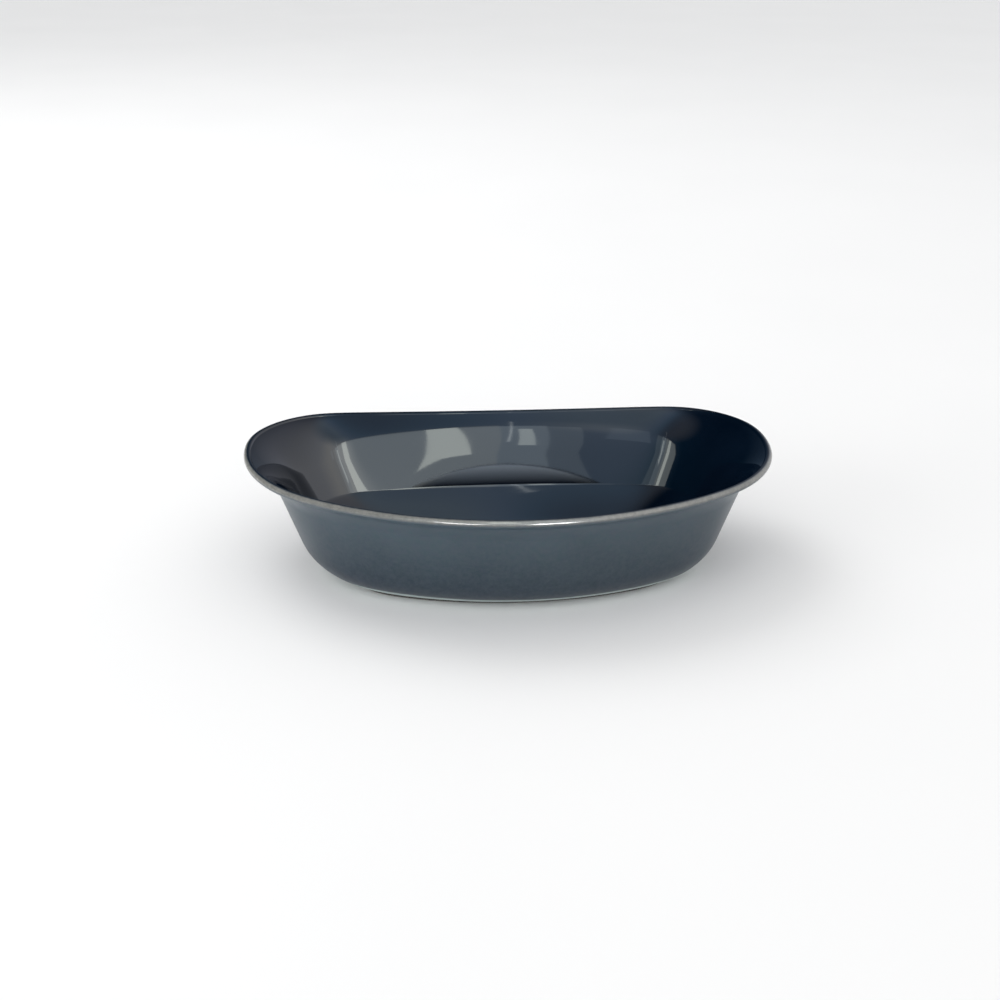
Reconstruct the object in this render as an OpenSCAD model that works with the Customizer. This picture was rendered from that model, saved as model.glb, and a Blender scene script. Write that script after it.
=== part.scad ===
// Kidney dish in glazed stoneware: an open dish with a bean-shaped rim on an oval foot ring.
// Millimetres. The origin is the middle of the face that it rests on, +X runs along the dish,
// +Y points to the hollow side of the rim and +Z is up.

/* [Rim outline] */
// Radius of the bulging front edge, to the middle of the lip
front_r = 164; // [152:1:176]
// Turn of the front edge on each side of its middle, in degrees
front_turn = 34; // [31:1:36]
// Radius of the two ends
end_r = 76; // [70:1:84]
// Turn of each end, in degrees
end_turn = 64; // [60:1:66]
// Radius of the two back shoulders
shoulder_r = 42; // [38:1:46]
// Turn past straight that hollows the back edge, in degrees
hollow_turn = 2; // [1:0.5:5]

/* [Lip] */
// Height of the dish to the top of the lip
dish_h = 54; // [48:1:60]
// Thickness of the rounded lip
lip_d = 3.6; // [3.2:0.1:4.2]

/* [Foot] */
// Length of the foot
foot_l = 160; // [150:1:170]
// Width of the foot
foot_w = 84; // [80:1:90]
// Radius of the foot's ends
foot_end_r = 34; // [30:1:38]
// Height of the foot ring
foot_h = 2; // [1.6:0.1:2.4]
// Width of the foot ring's resting face
foot_ring_w = 4.5; // [3.5:0.1:5.5]

/* [Wall] */
// Thickness of the wall at the top of its straight part, measured level
wall_t = 5; // [4.6:0.1:5.4]
// How much thicker the wall is at the bottom of its straight part
heel_t = 0.9; // [0.5:0.1:1.2]
// Thickness of the floor above the foot ring
floor_t = 5; // [4.4:0.1:5.6]
// Distance in from the foot's edge to the flat of the floor
floor_in = 9; // [7:0.5:12]
// Height at which the floor's cove has become wall, as a share of the dish's height
cove_z = 0.36; // [0.33:0.01:0.4]
// Height at which the wall begins to flare on the inside, as a share of the dish's height
flare_z = 0.64; // [0.6:0.01:0.68]
// Bottom of the straight wall: how far it has spread, from 0 at the foot to 1 at the rim
low_spread = 0.48; // [0.45:0.01:0.51]
// Bottom of the straight wall, as a share of the dish's height
low_z = 0.28; // [0.26:0.01:0.3]
// Top of the straight wall: how far it has spread, from 0 at the foot to 1 at the rim
high_spread = 0.71; // [0.69:0.01:0.75]
// Top of the straight wall, as a share of the dish's height
high_z = 0.74; // [0.72:0.01:0.77]

/* [Glaze] */
// Thickness of the glaze
glaze_t = 0.4; // [0.3:0.05:0.5]

/* [Smoothness] */
// Facets round half of the dish
half_facets = 36; // [24:4:48]
// Rings along each curve of the section
curve_rings = 6; // [4:1:8]

/* [Hidden] */

lip_r = lip_d / 2;
// Steps of the lip's curve in degrees, which put a ring on its very top and on its outermost line
lip_step = curve_rings > 6 ? 15 : 30;
arc_shares = [0.18, 0.28, 0.38, 0.16];

// Half an outline is a list of [x, y, heading] from the front middle round the right to the back
// middle. Arcs of [radius, turn] bend it left, and the last one closes it: that one is hollow where
// the others have turned past 180 degrees.
function along(start, arc, share) =
    let (h = start[2] + share * arc[1])
    [start[0] + arc[0] * (sin(h) - sin(start[2])), start[1] + arc[0] * (cos(start[2]) - cos(h)), h];
function after(arcs, k) = k == 0 ? [0, 0, 0] : along(after(arcs, k - 1), arcs[k - 1], 1);
function closed_arcs(arcs) =
    let (end = after(arcs, len(arcs)))
    concat(arcs, [[end[0] / sin(end[2]), 180 - end[2]]]);
function half_outline(arcs) =
    concat([for (k = [0 : len(arcs) - 1])
               let (n = round(half_facets * arc_shares[k]))
               for (i = [0 : n - 1]) along(after(arcs, k), arcs[k], i / n)],
           [after(arcs, len(arcs))]);

// A whole outline runs once round from the front middle, and the middle of its box is the origin.
function outline(arcs) =
    let (half = half_outline(closed_arcs(arcs)),
         ys = [for (p = half) p[1]],
         mid = (min(ys) + max(ys)) / 2)
    concat([for (p = half) [p[0], p[1] - mid, p[2]]],
           [for (i = [len(half) - 2 : -1 : 1]) [-half[i][0], half[i][1] - mid, -half[i][2]]]);

// An oval of four arcs, from its length, its width and the radius of its ends.
function oval_arcs(l, w, r) =
    let (a = l / 2 - r,
         side_r = (a * a + w * w / 4 - r * r) / (w - 2 * r),
         turn = atan2(a, side_r - w / 2))
    [[side_r, turn], [r, 90 - turn], [r, 90 - turn]];

rim = outline([[front_r, front_turn], [end_r, end_turn],
               [shoulder_r, 180 + hollow_turn - front_turn - end_turn]]);
foot = outline(oval_arcs(foot_l, foot_w, foot_end_r));
around = len(rim);
// Mean distance from the foot's outline out to the rim's, end and front taken together
mean_reach = (max([for (p = rim) p[0]]) - foot_l / 2 - min([for (p = rim) p[1]]) - foot_w / 2) / 2;

// A point of the section is [spread, inset, z]. Spread runs from 0 on the foot's outline to 1 on the
// middle line of the lip, and inset is the distance in from there, square to the outline.
function square_to(spread, i) =
    let (f = foot[i][2], r = rim[i][2],
         out = (1 - spread) * [sin(f), -cos(f)] + spread * [sin(r), -cos(r)])
    out / norm(out);
function ring(s) =
    [for (i = [0 : around - 1])
        let (out = square_to(s[0], i))
        [foot[i][0] + s[0] * (rim[i][0] - foot[i][0]) - s[1] * out[0],
         foot[i][1] + s[0] * (rim[i][1] - foot[i][1]) - s[1] * out[1],
         s[2]]];
function flat_ring(inset) = [for (p = ring([0, inset, 0])) [p[0], p[1]]];

function bezier(a, b, c, d, n) =
    [for (i = [0 : n])
        let (t = i / n, u = 1 - t)
        u * u * u * a + 3 * u * u * t * b + 3 * u * t * t * c + t * t * t * d];
function reversed(list) = [for (i = [len(list) - 1 : -1 : 0]) list[i]];
function inner_part(list) = [for (i = [1 : len(list) - 2]) list[i]];
function last_of(list) = list[len(list) - 1];

// The outside: a rounded heel from the foot, a straight wall, and a flare to the lip's underside.
low = [low_spread, 0, low_z * dish_h];
high = [high_spread, 0, high_z * dish_h];
rise = high - low;
outside = concat(
    bezier([0, 0, foot_h], [0.23, 0, foot_h + 1], low - 0.31 * rise, low, curve_rings),
    [(low + high) / 2],
    bezier(high, high + 0.17 * rise, [0.88, 0, 0.9 * dish_h], [1, 0, dish_h - lip_d], curve_rings));

// The rounded lip, from its underside round the outer side and over the top to its inner edge.
function lip_curve(r) =
    [for (turn = [-90 : lip_step : 150])
        [1, -r * cos(turn), dish_h - lip_r + r * sin(turn)]];
lip = lip_curve(lip_r);

// The inside: from the lip's inner edge down the flare and the wall. The cove turns in at once below
// the wall, runs down in a long hollow slope, and eases into the floor.
function on_wall(z) = low + (z - low_z) / (high_z - low_z) * rise;
inner_high = on_wall(flare_z) + [0, wall_t, 1];
inner_low = on_wall(cove_z) + [0, wall_t + heel_t, 1];
inner_rise = inner_high - inner_low;
floor_edge = [0, floor_in, foot_h + floor_t];
inside = concat(
    bezier(last_of(lip), last_of(lip) + [-0.1, 1.7, -3], inner_high + 0.55 * inner_rise, inner_high,
           curve_rings + 1),
    [(inner_low + inner_high) / 2],
    bezier(inner_low, inner_low - 0.05 * inner_rise, floor_edge + [0.1, 0, 0], floor_edge,
           curve_rings + 2));

// A curve of the section moved by d, square to itself, from the glaze's face towards the clay.
function set_back(curve, d) =
    [for (i = [0 : len(curve) - 1])
        let (a = curve[max(i - 1, 0)],
             b = curve[min(i + 1, len(curve) - 1)],
             way = [mean_reach * (b[0] - a[0]) - (b[1] - a[1]), b[2] - a[2]])
        curve[i] + d / norm(way) * [0, way[1], way[0]]];

// The clay's face under each field of glaze. The fields meet at the lip's two edges, and the
// outer one ends level on the foot ring.
clay_lip = lip_curve(lip_r - glaze_t);
clay_outside = concat([[0, 2 * glaze_t, foot_h]], inner_part(set_back(outside, glaze_t)), [clay_lip[0]]);
clay_inside = concat([last_of(clay_lip)], inner_part(set_back(inside, glaze_t)),
                     [floor_edge - [0, 0, glaze_t]]);

// Faces of a solid, whose rings are numbered in the order of its points. A sheet covers count rings
// from the first one, and turned round it faces the other way with the same edges.
function band(a, b) =
    [for (i = [0 : around - 1])
        let (j = (i + 1) % around, p = a * around, q = b * around)
        each [[p + i, q + i, q + j], [p + i, q + j, p + j]]];
function sheet(first, count) = [for (k = [first : first + count - 2]) each band(k, k + 1)];
function cap(a) = [for (i = [0 : around - 1]) a * around + i];
function turned(faces) = [for (f = faces) reversed(f)];

// A field of glaze between its face and the clay behind it, with a level floor at its end or not.
module glaze_field(face, clay, has_floor = false) {
    count = len(face);
    ends = has_floor
        ? [reversed(cap(count - 1)), cap(2 * count - 1)]
        : band(count - 1, 2 * count - 1);
    polyhedron(
        [for (s = concat(face, clay)) each ring(s)],
        concat(sheet(0, count), turned(sheet(count, count)), band(count, 0), ends));
}

module stoneware_body() {
    section = concat(clay_outside, inner_part(clay_lip), clay_inside);
    last = len(section) - 1;
    color("#6b6258")
    polyhedron(
        [for (s = section) each ring(s)],
        concat([cap(0)], sheet(0, last + 1), [reversed(cap(last))]));
}

module foot_ring() {
    color("#8f918a")
    linear_extrude(foot_h)
    difference() {
        polygon(flat_ring(glaze_t));
        polygon(flat_ring(foot_ring_w));
    }
}

module inner_glaze() {
    color("#1c232b")
    glaze_field(inside, clay_inside, has_floor = true);
}

module lip_glaze() {
    color("#7d736a")
    glaze_field(lip, clay_lip);
}

module outer_glaze() {
    color("#48525b")
    glaze_field(outside, clay_outside);
}

module base_glaze() {
    color("#3d464e")
    translate([0, 0, foot_h - glaze_t])
    linear_extrude(glaze_t)
    polygon(flat_ring(foot_ring_w));
}

stoneware_body();
foot_ring();
inner_glaze();
lip_glaze();
outer_glaze();
base_glaze();
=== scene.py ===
"""Looks for the kidney dish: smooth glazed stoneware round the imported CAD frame, and its studio.

Lengths are in metres and angles in degrees. A point of the dish's section is (spread, inset, z): spread
runs from 0 on the foot's outline to 1 on the middle line of the lip, and inset is the distance in from
there.
"""

import math

import bpy
import numpy as np
from mathutils import Matrix, Vector, noise


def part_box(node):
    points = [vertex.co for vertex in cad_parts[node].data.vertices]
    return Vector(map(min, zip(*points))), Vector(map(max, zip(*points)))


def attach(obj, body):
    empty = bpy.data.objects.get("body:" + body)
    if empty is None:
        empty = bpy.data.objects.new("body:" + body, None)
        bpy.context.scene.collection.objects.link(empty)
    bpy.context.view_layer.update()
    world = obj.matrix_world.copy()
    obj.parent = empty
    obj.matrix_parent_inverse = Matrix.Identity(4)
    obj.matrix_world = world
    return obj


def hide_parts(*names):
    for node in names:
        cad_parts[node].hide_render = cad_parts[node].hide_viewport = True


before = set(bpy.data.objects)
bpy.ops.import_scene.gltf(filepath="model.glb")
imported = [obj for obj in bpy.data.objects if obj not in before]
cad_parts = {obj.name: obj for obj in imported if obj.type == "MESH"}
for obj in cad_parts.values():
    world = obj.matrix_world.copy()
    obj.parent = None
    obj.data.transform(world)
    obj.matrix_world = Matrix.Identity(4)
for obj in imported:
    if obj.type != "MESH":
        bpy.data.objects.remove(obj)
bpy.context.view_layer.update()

MM = 0.001

# ---------------------------------------------------------------- sizes, from the frame

lip_low, lip_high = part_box("lip_glaze")
foot_low, foot_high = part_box("foot_ring")
base_low, base_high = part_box("base_glaze")
inner_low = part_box("inner_glaze")[0]

GLAZE = base_high.z - base_low.z
DISH_H = lip_high.z
LIP_D = lip_high.z - lip_low.z
LIP_R = LIP_D / 2
FOOT_H = foot_high.z
FOOT_L = foot_high.x - foot_low.x + 2 * GLAZE
FOOT_W = foot_high.y - foot_low.y + 2 * GLAZE
RING_IN = foot_high.y - base_high.y + GLAZE
FLOOR_Z = inner_low.z + GLAZE

# Turns of the rim's front edge, ends and hollow back, and radii of its shoulders and of the foot's ends
FRONT_TURN, END_TURN, HOLLOW_TURN = 34, 64, 2
SHOULDER_R = 42 * MM
FOOT_END_R = 34 * MM

# The wall's level thickness, how much thicker it is at its foot, and how far in the flat floor starts
WALL_T = 5 * MM
HEEL_T = 0.9 * MM
FLOOR_IN = 9 * MM

# The straight wall's foot and top, inside and then outside, with heights as shares of the dish's
COVE_Z, FLARE_Z = 0.36, 0.64
LOW_SPREAD, LOW_Z = 0.48, 0.28
HIGH_SPREAD, HIGH_Z = 0.71, 0.74

# How far the curves run on along the straight wall, as shares of its length
HEEL_PULL, OUTER_FLARE_PULL, INNER_FLARE_PULL, COVE_PULL = 0.31, 0.17, 0.55, 0.05
# The middle points that shape the heel, the outer flare, the inner flare's top and the cove's foot
HEEL_SPREAD, HEEL_LIFT = 0.23, MM
FLARE_SPREAD, FLARE_HEIGHT = 0.88, 0.9
LIP_EDGE_STEP = (-0.1, 1.7 * MM, -3 * MM)
COVE_FOOT_SPREAD = 0.1
# Height of the inner wall's ends over the outer ones
INNER_LIFT = MM

# Points along the four arcs of half an outline, and rings along each curve of the section
ARC_STEPS = (34, 48, 64, 28)
CURVE_RINGS = 18
INNER_FLARE_RINGS, COVE_RINGS = 24, 26
OUTER_WALL_RINGS, INNER_WALL_RINGS, CREASE_RINGS = 8, 9, 4
FLOOR_RINGS = 22

# The lip's curve runs from straight down to LIP_END, in steps
LIP_START, LIP_END, LIP_STEP = -90, 150, 12

# How far the fillet on the crease above the cove reaches each way
CREASE = 0.2 * MM

# The bare ring's eased edge, and how far over the foot the pale band painted as a highlight on the heel
# reaches, ragged from one to the other
FOOT_EASE = 0.75 * MM
FOOT_HIGHLIGHT_FROM, FOOT_HIGHLIGHT_TO = 3.4 * MM, 4.6 * MM

# Turns of the lip between which the glaze thins (its taupe lightened there as a painted highlight), thickens
# again, and changes to the inner kind
THIN_FROM, THIN_FULL, THICK_FROM, THICK_FULL = -50, 35, 45, 95
INNER_FROM, INNER_FULL = 40, 100

# The angle between faces over which an edge is sharp, on glaze and on the ground foot
SHARP, FOOT_SHARP = 50, 24

# Points over which the joins of the outline's arcs are eased
EASE_POINTS = 17

# How far the hand-finished wall wanders inwards, over what length, and how much faster it does up the wall
WANDER = 0.15 * MM
WANDER_LENGTH = 95 * MM
WANDER_RISE = 1.7


def turned(point, heading, radius, turn):
    """Where an arc that starts at point with that heading ends, and its heading there."""
    a, b = math.radians(heading), math.radians(heading + turn)
    x, y = point
    end = (x + radius * (math.sin(b) - math.sin(a)), y + radius * (math.cos(a) - math.cos(b)))
    return end, heading + turn


def outline(arcs):
    """Points (x, y, heading) once round from the front middle. A last arc closes those of (radius, turn)."""
    start, heading, half = (0.0, 0.0), 0.0, []
    for k, steps in enumerate(ARC_STEPS):
        if k < len(arcs):
            radius, turn = arcs[k]
        else:
            radius, turn = start[0] / math.sin(math.radians(heading)), 180 - heading
        half += [turned(start, heading, radius, turn * i / steps)[0] for i in range(steps)]
        start, heading = turned(start, heading, radius, turn)
    half = np.array(half + [start])
    return eased_outline(np.concatenate([half, half[-2:0:-1] * (-1, 1)]))


def eased_outline(points):
    """The outline with the joins of its arcs eased, in the same box about the origin, and its headings."""
    size = np.ptp(points, axis=0)
    reach = np.arange(-EASE_POINTS, EASE_POINTS + 1)
    share = 1 + np.cos(math.pi * reach / (EASE_POINTS + 1))
    share /= share.sum()
    points = sum(w * np.roll(points, -k, axis=0) for k, w in zip(reach, share))
    points *= size / np.ptp(points, axis=0)
    points -= (points.min(0) + points.max(0)) / 2
    way = np.roll(points, -1, axis=0) - np.roll(points, 1, axis=0)
    return np.concatenate([points, np.degrees(np.arctan2(way[:, 1], way[:, 0]))[:, None]], 1)


def rim_arcs():
    """The rim's arcs: the front and end radii are those that give the lip's box its length and width."""
    front, end = math.radians(FRONT_TURN), math.radians(FRONT_TURN + END_TURN)
    length = (lip_high.x - lip_low.x - LIP_D) / 2
    width = lip_high.y - lip_low.y - LIP_D - SHOULDER_R * (math.cos(end) + 1)
    ways = [[math.sin(front), 1 - math.sin(front)],
            [1 - math.cos(front), math.cos(front) - math.cos(end)]]
    front_r, end_r = np.linalg.solve(ways, [length, width])
    shoulder_turn = 180 + HOLLOW_TURN - FRONT_TURN - END_TURN
    return [(front_r, FRONT_TURN), (end_r, END_TURN), (SHOULDER_R, shoulder_turn)]


def oval_arcs(length, width, end_r):
    """The arcs of an oval, from its length, its width and the radius of its ends."""
    a = length / 2 - end_r
    side_r = (a * a + width * width / 4 - end_r * end_r) / (width - 2 * end_r)
    turn = math.degrees(math.atan2(a, side_r - width / 2))
    return [(side_r, turn), (end_r, 90 - turn), (end_r, 90 - turn)]


RIM = outline(rim_arcs())
FOOT = outline(oval_arcs(FOOT_L, FOOT_W, FOOT_END_R))
AROUND = len(RIM)
# Mean distance from the foot's outline out to the rim's
MEAN_REACH = (RIM[:, 0].max() - FOOT_L / 2 - RIM[:, 1].min() - FOOT_W / 2) / 2


def square_to(heading):
    """The level directions out of an outline at its headings."""
    return np.stack([np.sin(np.radians(heading)), -np.cos(np.radians(heading))], 1)


def wander(points):
    """0 to 1 for each point, smooth along and up the wall, and 0 at the foot."""
    out = []
    for x, y, z in points:
        rise = (z - FOOT_H) / (DISH_H - FOOT_H)
        place = Vector((x, y, WANDER_RISE * z)) / WANDER_LENGTH
        out.append(rise * (0.5 + 0.5 * noise.noise(place)))
    return np.clip(out, 0, 1)


def ring(section_point):
    """The points of one section point, once round the dish."""
    spread, inset, z = section_point
    out = (1 - spread) * square_to(FOOT[:, 2]) + spread * square_to(RIM[:, 2])
    out /= np.linalg.norm(out, axis=1)[:, None]
    base = FOOT[:, :2] + spread * (RIM[:, :2] - FOOT[:, :2])
    level = np.full((AROUND, 1), z)
    wandered = wander(np.concatenate([base, level], 1))[:, None] * WANDER
    return np.concatenate([base - (inset + wandered) * out, level], 1)


def bezier(a, b, c, d, n=CURVE_RINGS):
    t = np.linspace(0, 1, n + 1)[:, None]
    u = 1 - t
    return u ** 3 * a + 3 * u * u * t * b + 3 * u * t * t * c + t ** 3 * d


def point(spread, inset, z):
    return np.array([spread, inset, z], float)


# ---------------------------------------------------------------- the section's curves

LOW = point(LOW_SPREAD, 0, LOW_Z * DISH_H)
HIGH = point(HIGH_SPREAD, 0, HIGH_Z * DISH_H)
RISE = HIGH - LOW
LIP_TURNS = np.arange(LIP_START, LIP_END + LIP_STEP / 2, LIP_STEP)


def straight(a, b, n):
    """The points between a and b that cut the way from one to the other in n steps."""
    return a + np.linspace(0, 1, n + 1)[1:-1, None] * (b - a)


def lip_curve(radius):
    """The rounded lip, from its underside round the outer side and over the top to its inner edge."""
    turn = np.radians(LIP_TURNS)
    height = DISH_H - LIP_R + radius * np.sin(turn)
    return np.stack([np.ones(len(turn)), -radius * np.cos(turn), height], 1)


def outside_curve():
    """The outside: a rounded heel from the foot, a straight wall, and a flare to the lip's underside."""
    heel = bezier(point(0, 0, FOOT_H), point(HEEL_SPREAD, 0, FOOT_H + HEEL_LIFT),
                  LOW - HEEL_PULL * RISE, LOW)
    flare = bezier(HIGH, HIGH + OUTER_FLARE_PULL * RISE, point(FLARE_SPREAD, 0, FLARE_HEIGHT * DISH_H),
                   point(1, 0, DISH_H - LIP_D))
    return np.concatenate([heel, straight(LOW, HIGH, OUTER_WALL_RINGS), flare])


def on_wall(z):
    """The straight wall's outer face, at a height given as a share of the dish's."""
    return LOW + (z - LOW_Z) / (HIGH_Z - LOW_Z) * RISE


def length(step):
    """Length of a step of the section, at the rim's mean reach from the foot."""
    return math.hypot(MEAN_REACH * step[0] - step[1], step[2])


def inside_curve():
    """The inside: down the flare and the wall, over a small fillet, then down the hollow cove."""
    high = on_wall(FLARE_Z) + point(0, WALL_T, INNER_LIFT)
    low = on_wall(COVE_Z) + point(0, WALL_T + HEEL_T, INNER_LIFT)
    rise = high - low
    start = lip_curve(LIP_R)[-1]
    floor_edge = point(0, FLOOR_IN, FLOOR_Z)
    flare = bezier(start, start + point(*LIP_EDGE_STEP), high + INNER_FLARE_PULL * rise, high,
                   INNER_FLARE_RINGS)
    cove = bezier(low, low - COVE_PULL * rise, floor_edge + point(COVE_FOOT_SPREAD, 0, 0), floor_edge,
                  COVE_RINGS)
    up, down = rise / length(rise), (cove[2] - low) / length(cove[2] - low)
    crease = bezier(low + CREASE * up, low, low, low + CREASE * down, CREASE_RINGS)
    hold_up, hold_down = low + 2 * CREASE * up, low + 2 * CREASE * down
    wall = straight(high, hold_up, INNER_WALL_RINGS)
    return np.concatenate([flare, wall, [hold_up], crease, [hold_down], cove[2:]])


def set_back(curve, d):
    """The curve moved by d, square to itself, from the glaze's face towards the clay."""
    way = np.gradient(curve, axis=0)
    flat = np.stack([MEAN_REACH * way[:, 0] - way[:, 1], way[:, 2]], 1)
    flat /= np.linalg.norm(flat, axis=1)[:, None]
    return curve + d * np.stack([np.zeros(len(flat)), flat[:, 1], flat[:, 0]], 1)


OUTSIDE = outside_curve()
INSIDE = inside_curve()
LIP = lip_curve(LIP_R)
CLAY_LIP = lip_curve(LIP_R - GLAZE)
CLAY_OUTSIDE = set_back(OUTSIDE, GLAZE)
CLAY_OUTSIDE[0], CLAY_OUTSIDE[-1] = point(0, 2 * GLAZE, FOOT_H), CLAY_LIP[0]
CLAY_INSIDE = set_back(INSIDE, GLAZE)
CLAY_INSIDE[0], CLAY_INSIDE[-1] = CLAY_LIP[-1], point(0, FLOOR_IN, FLOOR_Z - GLAZE)


# ---------------------------------------------------------------- marks along the section

def eased(x, start, end):
    """0 up to start and 1 from end on, with a smooth step between."""
    t = np.clip((np.asarray(x, float) - start) / (end - start), 0, 1)
    return t * t * (3 - 2 * t)


def lip_marks():
    """Round the lip the glaze thins on the outer side, where its taupe is lightened as a painted highlight,
    and changes from the outer kind to the inner one.
    """
    turn = LIP_TURNS
    thin_and_highlight = eased(turn, THIN_FROM, THIN_FULL) * (1 - eased(turn, THICK_FROM, THICK_FULL))
    return {"inner": eased(turn, INNER_FROM, INNER_FULL), "thin_and_highlight": thin_and_highlight, "painted_foot_highlight": 0 * turn}


def outside_marks():
    z = OUTSIDE[:, 2]
    # A pale band painted as a highlight on the heel, up from the foot
    painted_foot_highlight = 1 - eased(z, FOOT_H + FOOT_HIGHLIGHT_FROM, FOOT_H + FOOT_HIGHLIGHT_TO)
    return {"inner": 0 * z, "thin_and_highlight": 0 * z, "painted_foot_highlight": painted_foot_highlight}


def inside_marks():
    z = INSIDE[:, 2]
    return {"inner": 0 * z + 1, "thin_and_highlight": 0 * z, "painted_foot_highlight": 0 * z}


# ---------------------------------------------------------------- meshes

def rings_of(curve):
    return [ring(p) for p in curve]


def level_rings(edge, steps=FLOOR_RINGS):
    """Rings that shrink from the edge ring towards its middle, at its height."""
    return [edge * (1 - k / steps, 1 - k / steps, 1) for k in range(1, steps)]


def band(a, b):
    """Faces between ring a and ring b, which start at those vertices."""
    return [(a + i, a + (i + 1) % AROUND, b + (i + 1) % AROUND, b + i) for i in range(AROUND)]


def sheet(first, count):
    """Faces between count rings in a row, which start at vertex first."""
    return [f for k in range(count - 1) for f in band(first + k * AROUND, first + (k + 1) * AROUND)]


def flipped(faces):
    return [f[::-1] for f in faces]


def fan(ring_start, middle):
    return [(ring_start + i, ring_start + (i + 1) % AROUND, middle) for i in range(AROUND)]


def mesh_piece(name, points, faces, sharp=SHARP, marks=None):
    """A piece from points and faces. Marks are named values for each point, which its material reads."""
    mesh = bpy.data.meshes.new(name)
    mesh.from_pydata([tuple(p) for p in points], [], faces)
    for mark, values in (marks or {}).items():
        mesh.attributes.new(mark, "FLOAT", "POINT").data.foreach_set("value", np.asarray(values, "f"))
    mesh.polygons.foreach_set("use_smooth", [True] * len(mesh.polygons))
    mesh.set_sharp_from_angle(angle=math.radians(sharp))
    piece = bpy.data.objects.new(name, mesh)
    bpy.context.scene.collection.objects.link(piece)
    return piece


def closed_surface(first_side, second_side):
    """The walls of a solid between two stacks of rings that start side by side."""
    points = np.concatenate(first_side + second_side)
    a, b = len(first_side), len(second_side)
    faces = sheet(0, a) + flipped(sheet(a * AROUND, b)) + band(a * AROUND, 0)
    return points, faces


def ring_marks(marks, sides=2, floor=0, middles=0):
    """A value for each point from one for each ring of the face: the floor's rings repeat the last one."""
    out = {}
    for mark, values in marks.items():
        side = np.concatenate([values, np.full(floor, values[-1])])
        out[mark] = np.concatenate([np.repeat(np.tile(side, sides), AROUND), np.full(middles, values[-1])])
    return out


def field(name, face, clay, marks):
    """A field of glaze that is a hoop between its face and the clay."""
    points, faces = closed_surface(rings_of(face), rings_of(clay))
    n = len(face)
    faces += band((n - 1) * AROUND, (2 * n - 1) * AROUND)
    return mesh_piece(name, points, faces, marks=ring_marks(marks))


def floored(name, face, clay, marks):
    """A field of glaze that ends in a level floor."""
    sides = []
    for curve in (face, clay):
        rings = rings_of(curve)
        sides.append(rings + level_rings(rings[-1]))
    points, faces = closed_surface(*sides)
    n = len(sides[0])
    middles = [[0, 0, face[-1][2]], [0, 0, clay[-1][2]]]
    faces += fan((n - 1) * AROUND, 2 * n * AROUND) + flipped(fan((2 * n - 1) * AROUND, 2 * n * AROUND + 1))
    marks = ring_marks(marks, floor=FLOOR_RINGS - 1, middles=2)
    return mesh_piece(name, np.concatenate([points, middles]), faces, marks=marks)


def make_body():
    """The clay under the glaze: outside, lip and inside in one sheet, closed by the floor and the base."""
    section = np.concatenate([CLAY_OUTSIDE, CLAY_LIP[1:-1], CLAY_INSIDE])
    rings = rings_of(section)
    rings = level_rings(rings[0])[::-1] + rings + level_rings(rings[-1])
    n = len(rings)
    middles = [[0, 0, FOOT_H], [0, 0, CLAY_INSIDE[-1][2]]]
    faces = sheet(0, n) + flipped(fan(0, n * AROUND)) + fan((n - 1) * AROUND, n * AROUND + 1)
    return mesh_piece("stoneware_clay", np.concatenate(rings + [middles]), faces)


def make_foot():
    """The bare ring: upright sides, with its ground face's two edges eased."""
    ease = FOOT_EASE
    loop = [point(0, GLAZE, FOOT_H), point(0, GLAZE, ease), point(0, GLAZE + 0.3 * ease, 0.3 * ease),
            point(0, GLAZE + ease, 0), point(0, RING_IN - 0.6 * ease, 0),
            point(0, RING_IN - 0.15 * ease, 0.2 * ease), point(0, RING_IN, 0.7 * ease),
            point(0, RING_IN, FOOT_H)]
    n = len(loop)
    faces = [f for k in range(n) for f in band(((k + 1) % n) * AROUND, k * AROUND)]
    return mesh_piece("bare_foot_ring", np.concatenate(rings_of(loop)), faces, sharp=FOOT_SHARP)


def make_base():
    """The glaze under the base, inside the foot ring."""
    upper, lower = ring(point(0, RING_IN, FOOT_H)), ring(point(0, RING_IN, FOOT_H - GLAZE))
    rings = level_rings(lower)[::-1] + [lower, upper] + level_rings(upper)
    n = len(rings)
    middles = [[0, 0, FOOT_H - GLAZE], [0, 0, FOOT_H]]
    faces = sheet(0, n) + flipped(fan(0, n * AROUND)) + fan((n - 1) * AROUND, n * AROUND + 1)
    return mesh_piece("underside_glaze", np.concatenate(rings + [middles]), faces)


# ---------------------------------------------------------------- materials

# The outer glaze by height, from the foot to the lip: darker towards the foot and lighter towards the lip as
# painted shade
OUTER_WITH_PAINTED_SHADE = [(0.08, (0.003, 0.013, 0.030)), (0.30, (0.005, 0.021, 0.037)), (0.62, (0.020, 0.043, 0.061)),
         (0.95, (0.038, 0.066, 0.090))]
# The inner glaze, kept darker than the outer one partly as painted shade, a pale band painted above the cove
# as a reflection, the taupe clay that shows through thin glaze, lightened as a painted highlight, and a pale
# painted highlight on the heel at the foot
INNER_DEEP, INNER_LIGHT = (0.0008, 0.003, 0.008), (0.002, 0.005, 0.012)
PAINTED_REFLECTION = (0.20, 0.235, 0.28)
TAUPE_AND_HIGHLIGHT_DEEP, TAUPE_AND_HIGHLIGHT_LIGHT = (0.14, 0.141, 0.132), (0.23, 0.229, 0.214)
PAINTED_FOOT_HIGHLIGHT = (0.36, 0.43, 0.42)
# Pale flecks and their share, and the warm and cool mottle that the outer glaze is multiplied by
FLECK, FLECK_SHARE = (0.05, 0.065, 0.08), 0.5
MOTTLE_STOPS = [(0.35, (0.86, 1.03, 0.97)), (0.65, (1.12, 0.96, 1.04))]
# How far the clouds shift the outer glaze's colours up or down the wall, and how ragged the edges are
CLOUD_SHIFT, RAGGEDNESS = 0.16, 0.9

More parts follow.
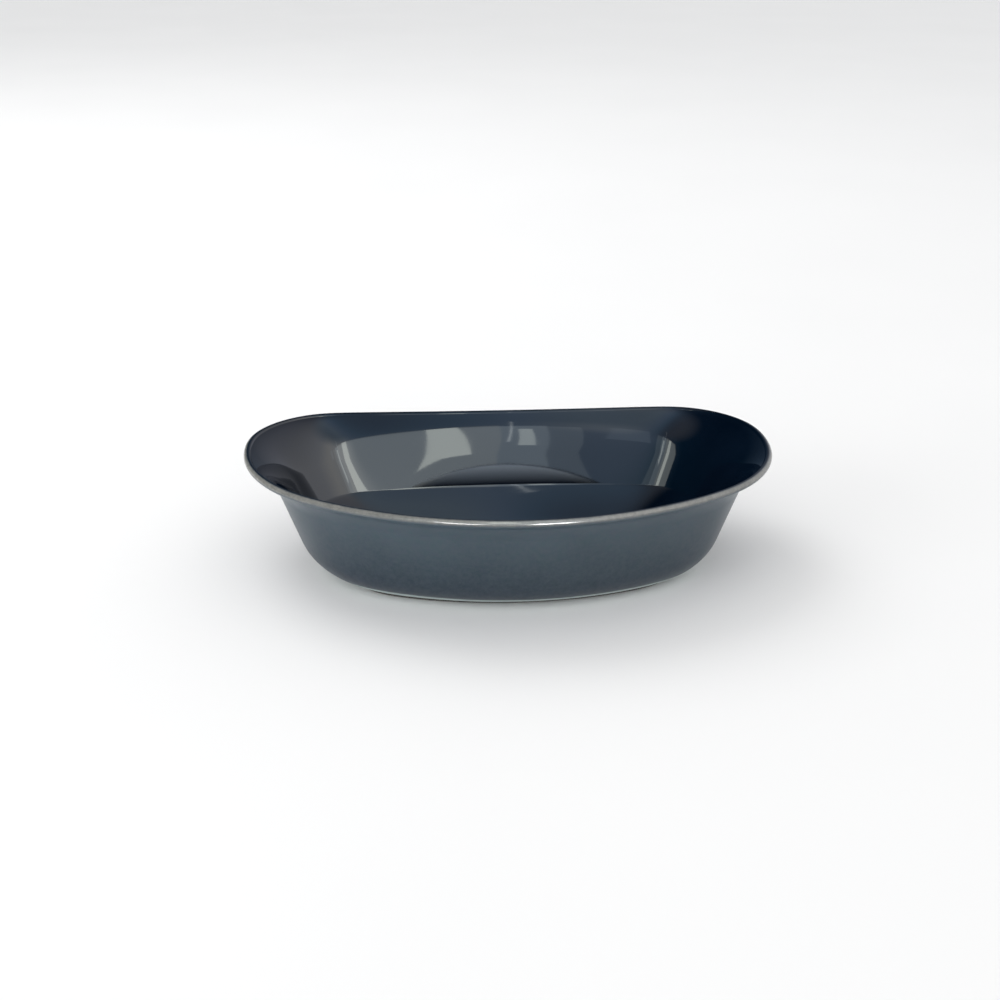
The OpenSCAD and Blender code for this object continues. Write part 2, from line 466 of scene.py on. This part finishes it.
# Clay: bare on the foot, kept dark there partly as painted shade under the heel, hidden under the glaze, and
# its iron specks
BARE_DEEP, BARE_LIGHT = (0.03, 0.028, 0.026), (0.06, 0.056, 0.05)
HIDDEN_DEEP, HIDDEN_LIGHT = (0.12, 0.10, 0.08), (0.17, 0.14, 0.12)
SPECK, SPECK_SHARE = (0.05, 0.04, 0.03), 0.6

# Each noise's scale, and its detail and roughness
SOFT_CLOUDS, FINE_FLECKS, MOTTLE, RAGGED_EDGE = (38, 3), (420, 5, 0.7), (300, 4, 0.7), (170, 4, 0.6)
SHEEN_PATCHES, ORANGE_PEEL = (55, 2), (420, 2)
CLAY_BODY, CLAY_SPECKS, CLAY_ROUGH, CLAY_GRAIN = (300, 5, 0.7), (1500, 1), (500, 3), (2500, 3)

# Roughness: (noise, roughness) stops, and one roughness for thin glaze
SATIN = [(0.2, 0.29), (0.8, 0.37)]
GLOSS = [(0.3, 0.03), (0.7, 0.06)]
THIN_SHEEN = (0.1, 0.1, 0.1)
DRY = [(0.3, 0.7), (0.7, 0.9)]
PEEL_DEPTH, GRAIN_DEPTH = 0.00001, 0.00006
PEEL_LOSS = 0.85
GLAZE_IOR = 1.53

# The pale band painted above the cove as a reflection: its top and foot as shares of the dish's height, how
# its top drops towards the ends, and where it fades just under and over its top
REFLECTION_TOP, REFLECTION_FOOT, REFLECTION_ARCH = 0.565, 0.385, 1.2
REFLECTION_UNDER, REFLECTION_OVER = 0.015, 0.003


class Graph:
    """A material's nodes, with short ways to add and join them."""

    def __init__(self, name):
        self.material = bpy.data.materials.new(name)
        self.material.use_nodes = True
        self.nodes = self.material.node_tree.nodes
        self.links = self.material.node_tree.links
        self.shader = self.nodes["Principled BSDF"]

    def add(self, kind, **values):
        node = self.nodes.new(kind)
        for key, value in values.items():
            if hasattr(node, key):
                setattr(node, key, value)
            else:
                node.inputs[key.replace("_", " ")].default_value = value
        return node

    def join(self, source, target):
        self.links.new(source, target)

    def place(self):
        return self.add("ShaderNodeTexCoord").outputs["Object"]

    def axis(self, name):
        node = self.add("ShaderNodeSeparateXYZ")
        self.join(self.place(), node.inputs[0])
        return node.outputs[name]

    def cloud(self, scale, detail=2.0, roughness=0.5):
        node = self.add("ShaderNodeTexNoise", Scale=scale, Detail=detail, Roughness=roughness)
        self.join(self.place(), node.inputs["Vector"])
        return node.outputs["Fac"]

    def ramp(self, value, *stops):
        """A colour ramp from (position, colour) stops, where a colour is three numbers or one."""
        node = self.add("ShaderNodeValToRGB")
        elements = node.color_ramp.elements
        while len(elements) < len(stops):
            elements.new(0.5)
        for element, (position, colour) in zip(elements, stops):
            rgb = colour if isinstance(colour, tuple) else (colour,) * 3
            element.position = position
            element.color = (*rgb, 1)
        self.join(value, node.inputs["Fac"])
        return node.outputs["Color"]

    def mix(self, share, a, b, blend="MIX"):
        """Colours a and b mixed by share; each is an output or three numbers."""
        node = self.add("ShaderNodeMix", data_type="RGBA", blend_type=blend)
        for value, socket in ((share, node.inputs[0]), (a, node.inputs[6]), (b, node.inputs[7])):
            if isinstance(value, bpy.types.NodeSocket):
                self.join(value, socket)
            else:
                socket.default_value = value if isinstance(value, float) else (*value, 1)
        return node.outputs[2]

    def maths(self, operation, a, b):
        node = self.add("ShaderNodeMath", operation=operation)
        for value, socket in zip((a, b), node.inputs):
            if isinstance(value, bpy.types.NodeSocket):
                self.join(value, socket)
            else:
                socket.default_value = value
        return node.outputs[0]

    def mark(self, name):
        """One of the mesh's marks."""
        return self.add("ShaderNodeAttribute", attribute_name=name).outputs["Fac"]

    def bump(self, value, distance, strength=1.0):
        node = self.add("ShaderNodeBump", Distance=distance, Strength=strength)
        self.join(value, node.inputs["Height"])
        return node

    def finish(self, colour, roughness):
        self.join(colour, self.shader.inputs["Base Color"])
        self.join(roughness, self.shader.inputs["Roughness"])
        return self.material


def painted_reflection(g):
    """A pale band painted above the cove as a reflection: 1 at its arched top, fading down the wall."""
    across = g.maths("MULTIPLY", g.axis("X"), 1 / lip_high.x)
    height = g.maths("MULTIPLY", g.axis("Z"), 1 / DISH_H)
    arch = g.maths("ADD", height, g.maths("MULTIPLY", g.maths("MULTIPLY", across, across), REFLECTION_ARCH))
    under = g.ramp(arch, (REFLECTION_TOP - REFLECTION_UNDER, 1.0), (REFLECTION_TOP + REFLECTION_OVER, 0.0))
    fade = g.ramp(height, (REFLECTION_FOOT, 0.0), (REFLECTION_TOP, 1.0))
    return g.maths("MULTIPLY", g.maths("MULTIPLY", under, fade), g.mark("inner"))


def glaze(name):
    """Stoneware glaze. The outer kind is a satin slate blue and the inner one a glossy blue-black.

    Where it is thin, on the lip's outer side, the clay warms it to taupe, lightened there as a painted
    highlight, and a pale band on the heel at the foot is a painted highlight. It is darker towards the foot
    and lighter towards the lip as painted shade, the inner kind's blue-black is partly painted shade, a pale
    arched band above the cove is a painted reflection, and it has soft clouds, fine flecks and a faint peel.
    """
    g = Graph(name)
    clouds = g.ramp(g.cloud(*SOFT_CLOUDS), (0.3, 0.0), (0.72, 1.0))
    fine = g.ramp(g.cloud(*FINE_FLECKS), (0.3, 0.0), (0.7, 1.0))
    height = g.maths("MULTIPLY", g.axis("Z"), 1 / DISH_H)
    height = g.maths("ADD", height, g.maths("MULTIPLY", g.maths("SUBTRACT", clouds, 0.5), CLOUD_SHIFT))
    # Painted shade: the outer glaze is darker towards the foot and lighter towards the lip
    outer = g.ramp(height, *OUTER_WITH_PAINTED_SHADE)
    mottle = g.ramp(g.cloud(*MOTTLE), *MOTTLE_STOPS)
    outer = g.mix(1.0, outer, mottle, "MULTIPLY")
    outer = g.mix(g.maths("MULTIPLY", fine, FLECK_SHARE), outer, FLECK)
    # The inner glaze's blue-black, far darker than the outer glaze, is partly its own colour and partly
    # painted shade
    inner = g.mix(clouds, INNER_DEEP, INNER_LIGHT)
    # A pale band painted above the cove as a reflection
    inner = g.mix(painted_reflection(g), inner, PAINTED_REFLECTION)
    tone = g.mix(g.mark("inner"), outer, inner)
    ragged = g.maths("MULTIPLY", g.maths("SUBTRACT", g.cloud(*RAGGED_EDGE), 0.5), RAGGEDNESS)
    # Taupe where the glaze thins on the lip, lightened as a painted highlight
    thin_and_highlight = g.maths("ADD", g.mark("thin_and_highlight"), g.maths("MULTIPLY", ragged, g.mark("thin_and_highlight")))
    thin_and_highlight = g.ramp(thin_and_highlight, (0.1, 0.0), (0.9, 1.0))
    tone = g.mix(thin_and_highlight, tone, g.mix(fine, TAUPE_AND_HIGHLIGHT_DEEP, TAUPE_AND_HIGHLIGHT_LIGHT))
    # A pale painted highlight on the heel at the foot, where it mirrors the floor
    painted_foot_highlight = g.maths("ADD", g.mark("painted_foot_highlight"), g.maths("MULTIPLY", ragged, g.mark("painted_foot_highlight")))
    painted_foot_highlight = g.ramp(painted_foot_highlight, (0.35, 0.0), (0.65, 1.0))
    tone = g.mix(painted_foot_highlight, tone, PAINTED_FOOT_HIGHLIGHT)
    satin = g.ramp(g.cloud(*SHEEN_PATCHES), *SATIN)
    gloss = g.ramp(g.cloud(*SHEEN_PATCHES), *GLOSS)
    sheen = g.mix(g.mark("inner"), satin, gloss)
    sheen = g.mix(thin_and_highlight, sheen, THIN_SHEEN)
    peel = g.bump(g.cloud(*ORANGE_PEEL), PEEL_DEPTH)
    peel_left = g.maths("SUBTRACT", 1.0, g.maths("MULTIPLY", g.mark("inner"), PEEL_LOSS))
    g.join(peel_left, peel.inputs["Strength"])
    g.join(peel.outputs[0], g.shader.inputs["Normal"])
    g.shader.inputs["IOR"].default_value = GLAZE_IOR
    return g.finish(tone, sheen)


def clay(name, deep, light):
    """Bare fired stoneware: fine grain, dark iron specks and a dry surface."""
    g = Graph(name)
    tone = g.mix(g.cloud(*CLAY_BODY), deep, light)
    specks = g.ramp(g.cloud(*CLAY_SPECKS), (0.68, 0.0), (0.72, 1.0))
    tone = g.mix(g.maths("MULTIPLY", specks, SPECK_SHARE), tone, SPECK)
    rough = g.ramp(g.cloud(*CLAY_ROUGH), *DRY)
    grain = g.bump(g.cloud(*CLAY_GRAIN), GRAIN_DEPTH)
    g.join(grain.outputs[0], g.shader.inputs["Normal"])
    return g.finish(tone, rough)


def paint(obj, material):
    obj.data.materials.clear()
    obj.data.materials.append(material)


def make_dish():
    """The six pieces, each with its material, the node that it stands in for and its slot."""
    # The bare foot's dark tone is partly the clay's colour and partly painted shade under the heel
    bare = clay("bare_stoneware_foot", BARE_DEEP, BARE_LIGHT)
    hidden = clay("stoneware_under_glaze", HIDDEN_DEEP, HIDDEN_LIGHT)
    body, foot = make_body(), make_foot()
    inside = floored("inside_glaze", INSIDE, CLAY_INSIDE, inside_marks())
    lip = field("rolled_lip_glaze", LIP, CLAY_LIP, lip_marks())
    outside = field("outside_glaze", OUTSIDE, CLAY_OUTSIDE, outside_marks())
    pieces = [
        (body, hidden, "stoneware_body", "stoneware"),
        (foot, bare, "foot_ring", "bare_foot"),
        (inside, glaze("inside_glaze"), "inner_glaze", "inner_glaze"),
        (lip, glaze("lip_glaze"), "lip_glaze", "lip_glaze"),
        (outside, glaze("outside_glaze"), "outer_glaze", "outer_glaze"),
        (make_base(), glaze("underside_glaze"), "base_glaze", "base_glaze"),
    ]
    for piece, material, node, slot in pieces:
        paint(piece, material)
        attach(piece, "root")
        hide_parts(node)


# ---------------------------------------------------------------- camera, floor and lights

# The camera's distance from its aim, turn, elevation and roll, and the aim across and up from the origin
CAMERA_DISTANCE, CAMERA_TURN, CAMERA_ELEVATION, CAMERA_ROLL = 0.68, -5.46, 23.52, 0.74
AIM_ACROSS, AIM_UP = -6.4 * MM, 30.5 * MM
SENSOR_MM, LENS_MM = 36, 50.6
CLIP_NEAR, CLIP_FAR = 0.01, 50

FLOOR_RADIUS, FLOOR_SIDES = 6, 96
FLOOR_TONES = (0.86, 0.86, 0.86), (0.89, 0.89, 0.89)

def camera_axes(turn, elevation):
    """Right, up and back of a camera that looks down by elevation from the front, turned about Z."""
    a, e = math.radians(turn), math.radians(elevation)
    back = Vector((math.sin(a) * math.cos(e), -math.cos(a) * math.cos(e), math.sin(e)))
    right = Vector((math.cos(a), math.sin(a), 0))
    return right, back.cross(right), back


def make_camera():
    right, up, back = camera_axes(CAMERA_TURN, CAMERA_ELEVATION)
    aim = AIM_ACROSS * right + AIM_UP * up
    data = bpy.data.cameras.new("camera")
    data.sensor_width = SENSOR_MM
    data.lens = LENS_MM
    data.clip_start, data.clip_end = CLIP_NEAR, CLIP_FAR
    camera = bpy.data.objects.new("camera", data)
    axes = Matrix((right, up, back)).transposed() @ Matrix.Rotation(math.radians(CAMERA_ROLL), 3, "Z")
    camera.matrix_world = Matrix.Translation(aim + CAMERA_DISTANCE * back) @ axes.to_4x4()
    bpy.context.scene.collection.objects.link(camera)
    bpy.context.scene.camera = camera


def make_floor():
    bpy.ops.mesh.primitive_circle_add(vertices=FLOOR_SIDES, radius=FLOOR_RADIUS, fill_type="NGON",
                                      location=(0, 0, 0))
    floor = bpy.context.object
    floor.name = "floor"
    g = Graph("pale_floor")
    tone = g.mix(g.cloud(3, 2), *FLOOR_TONES)
    rough = g.ramp(g.cloud(9, 2), (0.3, 0.75), (0.7, 0.85))
    paint(floor, g.finish(tone, rough))


def rectangle(name, width, height, radiance, place, facing, roll=0.0):
    """A rectangular light, its radiance three numbers. Facing points back at it from what it lights."""
    data = bpy.data.lights.new(name, "AREA")
    data.shape = "RECTANGLE"
    data.size, data.size_y = width, height
    data.energy = math.pi * width * height * max(radiance)
    data.color = [c / max(radiance) for c in radiance]
    light = bpy.data.objects.new(name, data)
    light.location = place
    turn = facing.to_track_quat("Z", "Y").to_matrix().to_4x4() @ Matrix.Rotation(math.radians(roll), 4, "Z")
    light.rotation_euler = turn.to_euler()
    light.visible_camera = False
    bpy.context.scene.collection.objects.link(light)
    return light


def softbox(name, width, height, radiance, azimuth, elevation, distance=2.0):
    """A light that faces the dish. Azimuth 0 is in front, on the -Y side, and turns towards +X."""
    a, e = math.radians(azimuth), math.radians(elevation)
    place = Vector((math.sin(a) * math.cos(e), -math.cos(a) * math.cos(e), math.sin(e))) * distance
    return rectangle(name, width, height, (radiance,) * 3, place, place)


def panel(name, distance, left, right, bottom, top, radiance, lean=0.0):
    """An upright panel in front that only the glaze mirrors, by its edges across and up, leaning right."""
    a = math.radians(PANEL_AZIMUTH)
    ahead, across = Vector((math.sin(a), -math.cos(a), 0)), Vector((math.cos(a), math.sin(a), 0))
    place = distance * ahead + (left + right) / 2 * across + Vector((0, 0, (bottom + top) / 2))
    light = rectangle(name, right - left, top - bottom, radiance, place, ahead, -lean)
    light.visible_diffuse = False


# The panels stand at one azimuth, each a step further off: lights in one plane would hide one another
PANEL_AZIMUTH = 6.0
PANEL_DISTANCE, PANEL_STEP = 0.095, 0.0012
# Left and right edges, foot, top, radiance and lean of each panel
PANELS = [
    ("left_wall", -0.09, 0.0085, 0.05, 0.33, (0.5, 0.45, 0.3), 3.5),
    ("left_pane", -0.09, 0.036, 0.05, 0.32, (0.65, 0.75, 0.8), 5.9),
    ("left_edge", -0.09, 0.054, 0.05, 0.31, (0.45, 0.5, 0.5), 7.9),
    ("tall_window", -0.0345, -0.0125, 0.071, 0.33, (3.7, 3.9, 3.5), -0.5),
    ("small_window", 0.019, 0.028, 0.115, 0.265, (2.6, 2.8, 2.6), 4.5),
    ("window_edge", 0.022, 0.0235, 0.14, 0.45, (3, 3.2, 3.2), 5),
    ("pale_frame", 0.080, 0.100, 0.18, 0.33, (0.30, 0.36, 0.42), 11),
]

# What the glaze mirrors by azimuth, and overhead by how far the direction leans to the right
DOME = [(-180, (0.05, 0.08, 0.12)), (-165, (0.0, 0.01, 0.02)), (-120, (0.0, 0.02, 0.04)),
        (-60, (0.0, 0.05, 0.1)), (-20, (0.2, 0.36, 0.55)), (-8, (0.4, 0.65, 0.9)), (2, (0.65, 0.9, 1.25)),
        (12, (0.8, 1.05, 1.4)), (20, (2.4, 2.6, 2.8)), (58, (2.45, 2.45, 2.4)), (80, (1.7, 1.75, 1.85)),
        (125, (1.0, 1.02, 1.08)), (148, (0.6, 0.62, 0.7)), (165, (0.2, 0.22, 0.26)),
        (180, (0.05, 0.08, 0.12))]
OVERHEAD = [(-0.28, (0.35, 0.37, 0.40)), (-0.14, (0.35, 0.38, 0.44)), (-0.04, (0.35, 0.45, 0.58)),
            (0.0, (0.4, 0.55, 0.75)), (0.05, (0.5, 0.75, 1.05)), (0.10, (0.7, 0.95, 1.3)),
            (0.16, (0.85, 1.1, 1.35)), (0.28, (0.7, 0.9, 1.1))]
OVERHEAD_REACH = 0.3
# The middle of what is overhead, and its cosines to where that starts and where it has taken over
OVERHEAD_WAY = (0.0, -0.15, 0.989)
OVERHEAD_FROM, OVERHEAD_FULL = 0.86, 0.98
# The dome's colours are shares of the most that it may give, and what it lights is lit evenly
DOME_MOST = 3.0
EVEN_LIGHT = 0.9


def make_world():
    """A studio dome: even for what it lights, but brighter on the right for what the glaze mirrors."""
    world = bpy.data.worlds.new("studio")
    bpy.context.scene.world = world
    world.use_nodes = True
    tree = world.node_tree
    tree.nodes.clear()

    def add(kind, *sources, **values):
        node = tree.nodes.new(kind)
        for key, value in values.items():
            setattr(node, key, value)
        for k, source in enumerate(sources):
            if isinstance(source, bpy.types.NodeSocket):
                tree.links.new(source, node.inputs[k])
            elif source is not None:
                node.inputs[k].default_value = source
        return node

    def ramp(value, stops):
        node = add("ShaderNodeValToRGB", value)
        elements = node.color_ramp.elements
        while len(elements) < len(stops):
            elements.new(0.5)
        for element, (place, colour) in zip(elements, stops):
            element.position = place
            element.color = (*(c / DOME_MOST for c in colour), 1)
        return node.outputs[0]

    generated = add("ShaderNodeTexCoord").outputs["Generated"]
    way = add("ShaderNodeSeparateXYZ", generated)
    ahead = add("ShaderNodeMath", way.outputs["Y"], -1.0, operation="MULTIPLY")
    azimuth = add("ShaderNodeMath", way.outputs["X"], ahead.outputs[0], operation="ARCTAN2")
    share = add("ShaderNodeMath", azimuth.outputs[0], 1 / (2 * math.pi), 0.5, operation="MULTIPLY_ADD")
    sides = ramp(share.outputs[0], [(angle / 360 + 0.5, colour) for angle, colour in DOME])
    leaning = add("ShaderNodeMath", way.outputs["X"], 0.5 / OVERHEAD_REACH, 0.5, operation="MULTIPLY_ADD")
    leans = [(0.5 + 0.5 * x / OVERHEAD_REACH, colour) for x, colour in OVERHEAD]
    overhead = ramp(leaning.outputs[0], leans)
    near_top = add("ShaderNodeVectorMath", generated, OVERHEAD_WAY, operation="DOT_PRODUCT")
    high = add("ShaderNodeMapRange", near_top.outputs["Value"], OVERHEAD_FROM, OVERHEAD_FULL,
               interpolation_type="SMOOTHSTEP")
    dome = add("ShaderNodeMix", data_type="RGBA")
    for source, socket in ((high.outputs[0], 0), (sides, 6), (overhead, 7)):
        tree.links.new(source, dome.inputs[socket])
    mirrored = add("ShaderNodeBackground", dome.outputs[2], DOME_MOST)
    even = add("ShaderNodeBackground", (1, 1, 1, 1), EVEN_LIGHT)
    rays = add("ShaderNodeLightPath")
    mixed = add("ShaderNodeMixShader", rays.outputs["Is Glossy Ray"], even.outputs[0], mirrored.outputs[0])
    add("ShaderNodeOutputWorld", mixed.outputs[0])


def make_lights():
    """Two soft lights that the glaze doesn't mirror, two low ones that it only mirrors, and the panels."""
    softbox("key", 1.2, 1.2, 2.2, -140, 50).visible_glossy = False
    softbox("left_fill", 1.2, 1.2, 3.2, -62, 14).visible_glossy = False
    softbox("low_right", 0.5, 0.2, 130, 14, 6).visible_diffuse = False
    softbox("low_left", 0.5, 0.2, 70, -17, 6).visible_diffuse = False
    for k, (name, *edges, radiance, lean) in enumerate(PANELS):
        panel(name, PANEL_DISTANCE + PANEL_STEP * k, *edges, radiance, lean)


make_camera()
make_dish()
make_floor()
make_world()
make_lights()
bpy.context.scene.view_settings.view_transform = "Standard"
